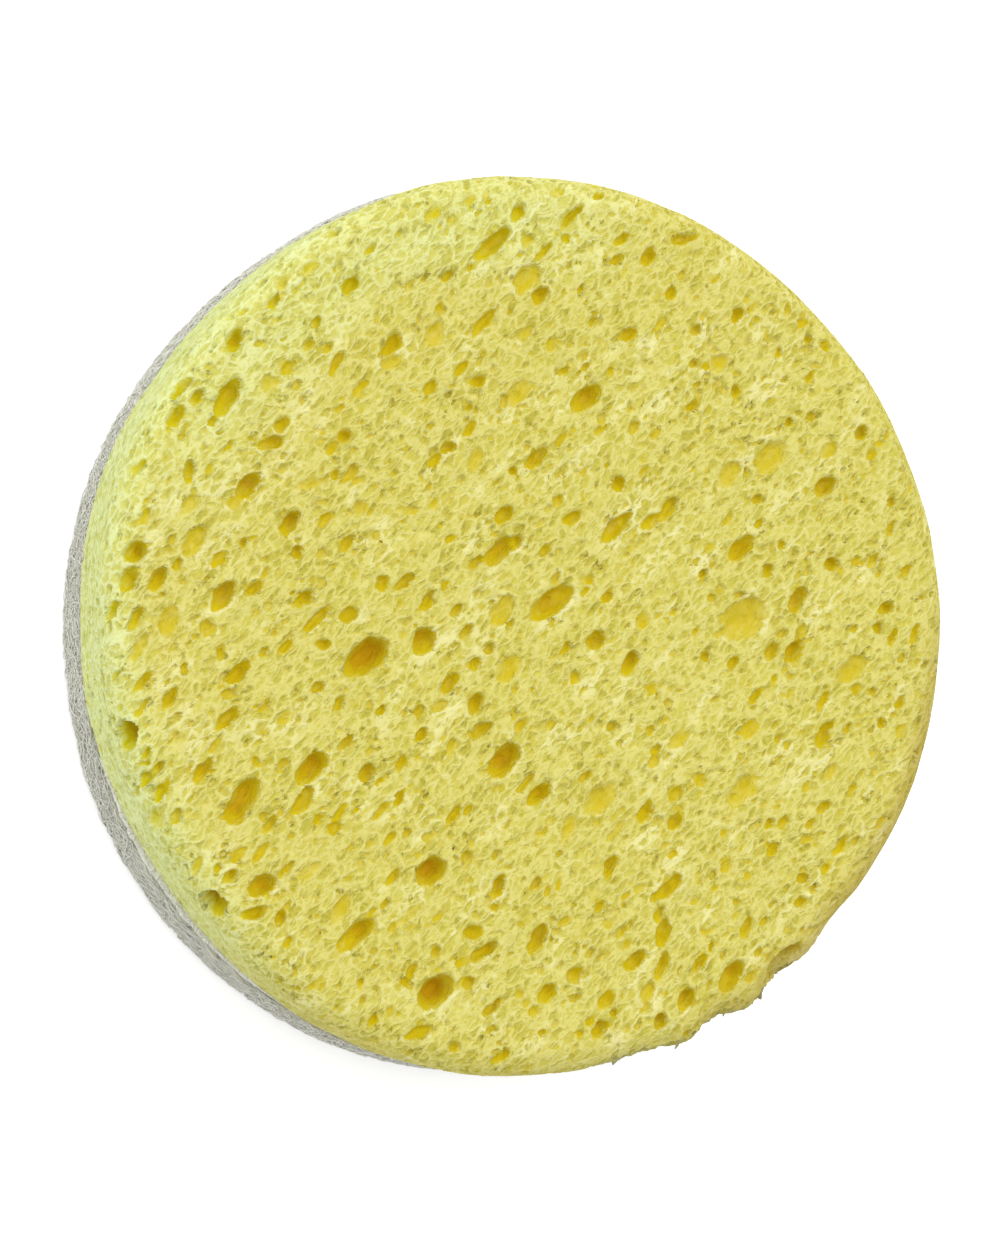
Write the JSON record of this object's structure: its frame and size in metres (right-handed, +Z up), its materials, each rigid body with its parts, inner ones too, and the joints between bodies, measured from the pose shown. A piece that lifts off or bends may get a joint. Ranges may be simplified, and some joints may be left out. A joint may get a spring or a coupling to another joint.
{
  "type": "round two-layer scouring pad",
  "caption": "Round scouring pad: a soft open-pored yellow cellulose sponge bonded to a layer of pale non-woven scouring fibre.",
  "frame": {"origin": "middle of the flat underside of the scouring layer, on the surface that the pad lies on", "axes": "+Z up through the pad's thickness, from the scouring fibre to the sponge's face; -Y towards the torn stretch of the edge"},
  "size_m": [0.1014, 0.102, 0.0183],
  "materials": {
    "yellow_cellulose": "matt open-cell cellulose sponge",
    "pale_scouring_fibre": "matt non-woven fibre"
  },
  "bodies": {
    "root": {"cellulose_sponge": "yellow_cellulose", "scouring_layer": "pale_scouring_fibre"}
  },
  "joints": []
}
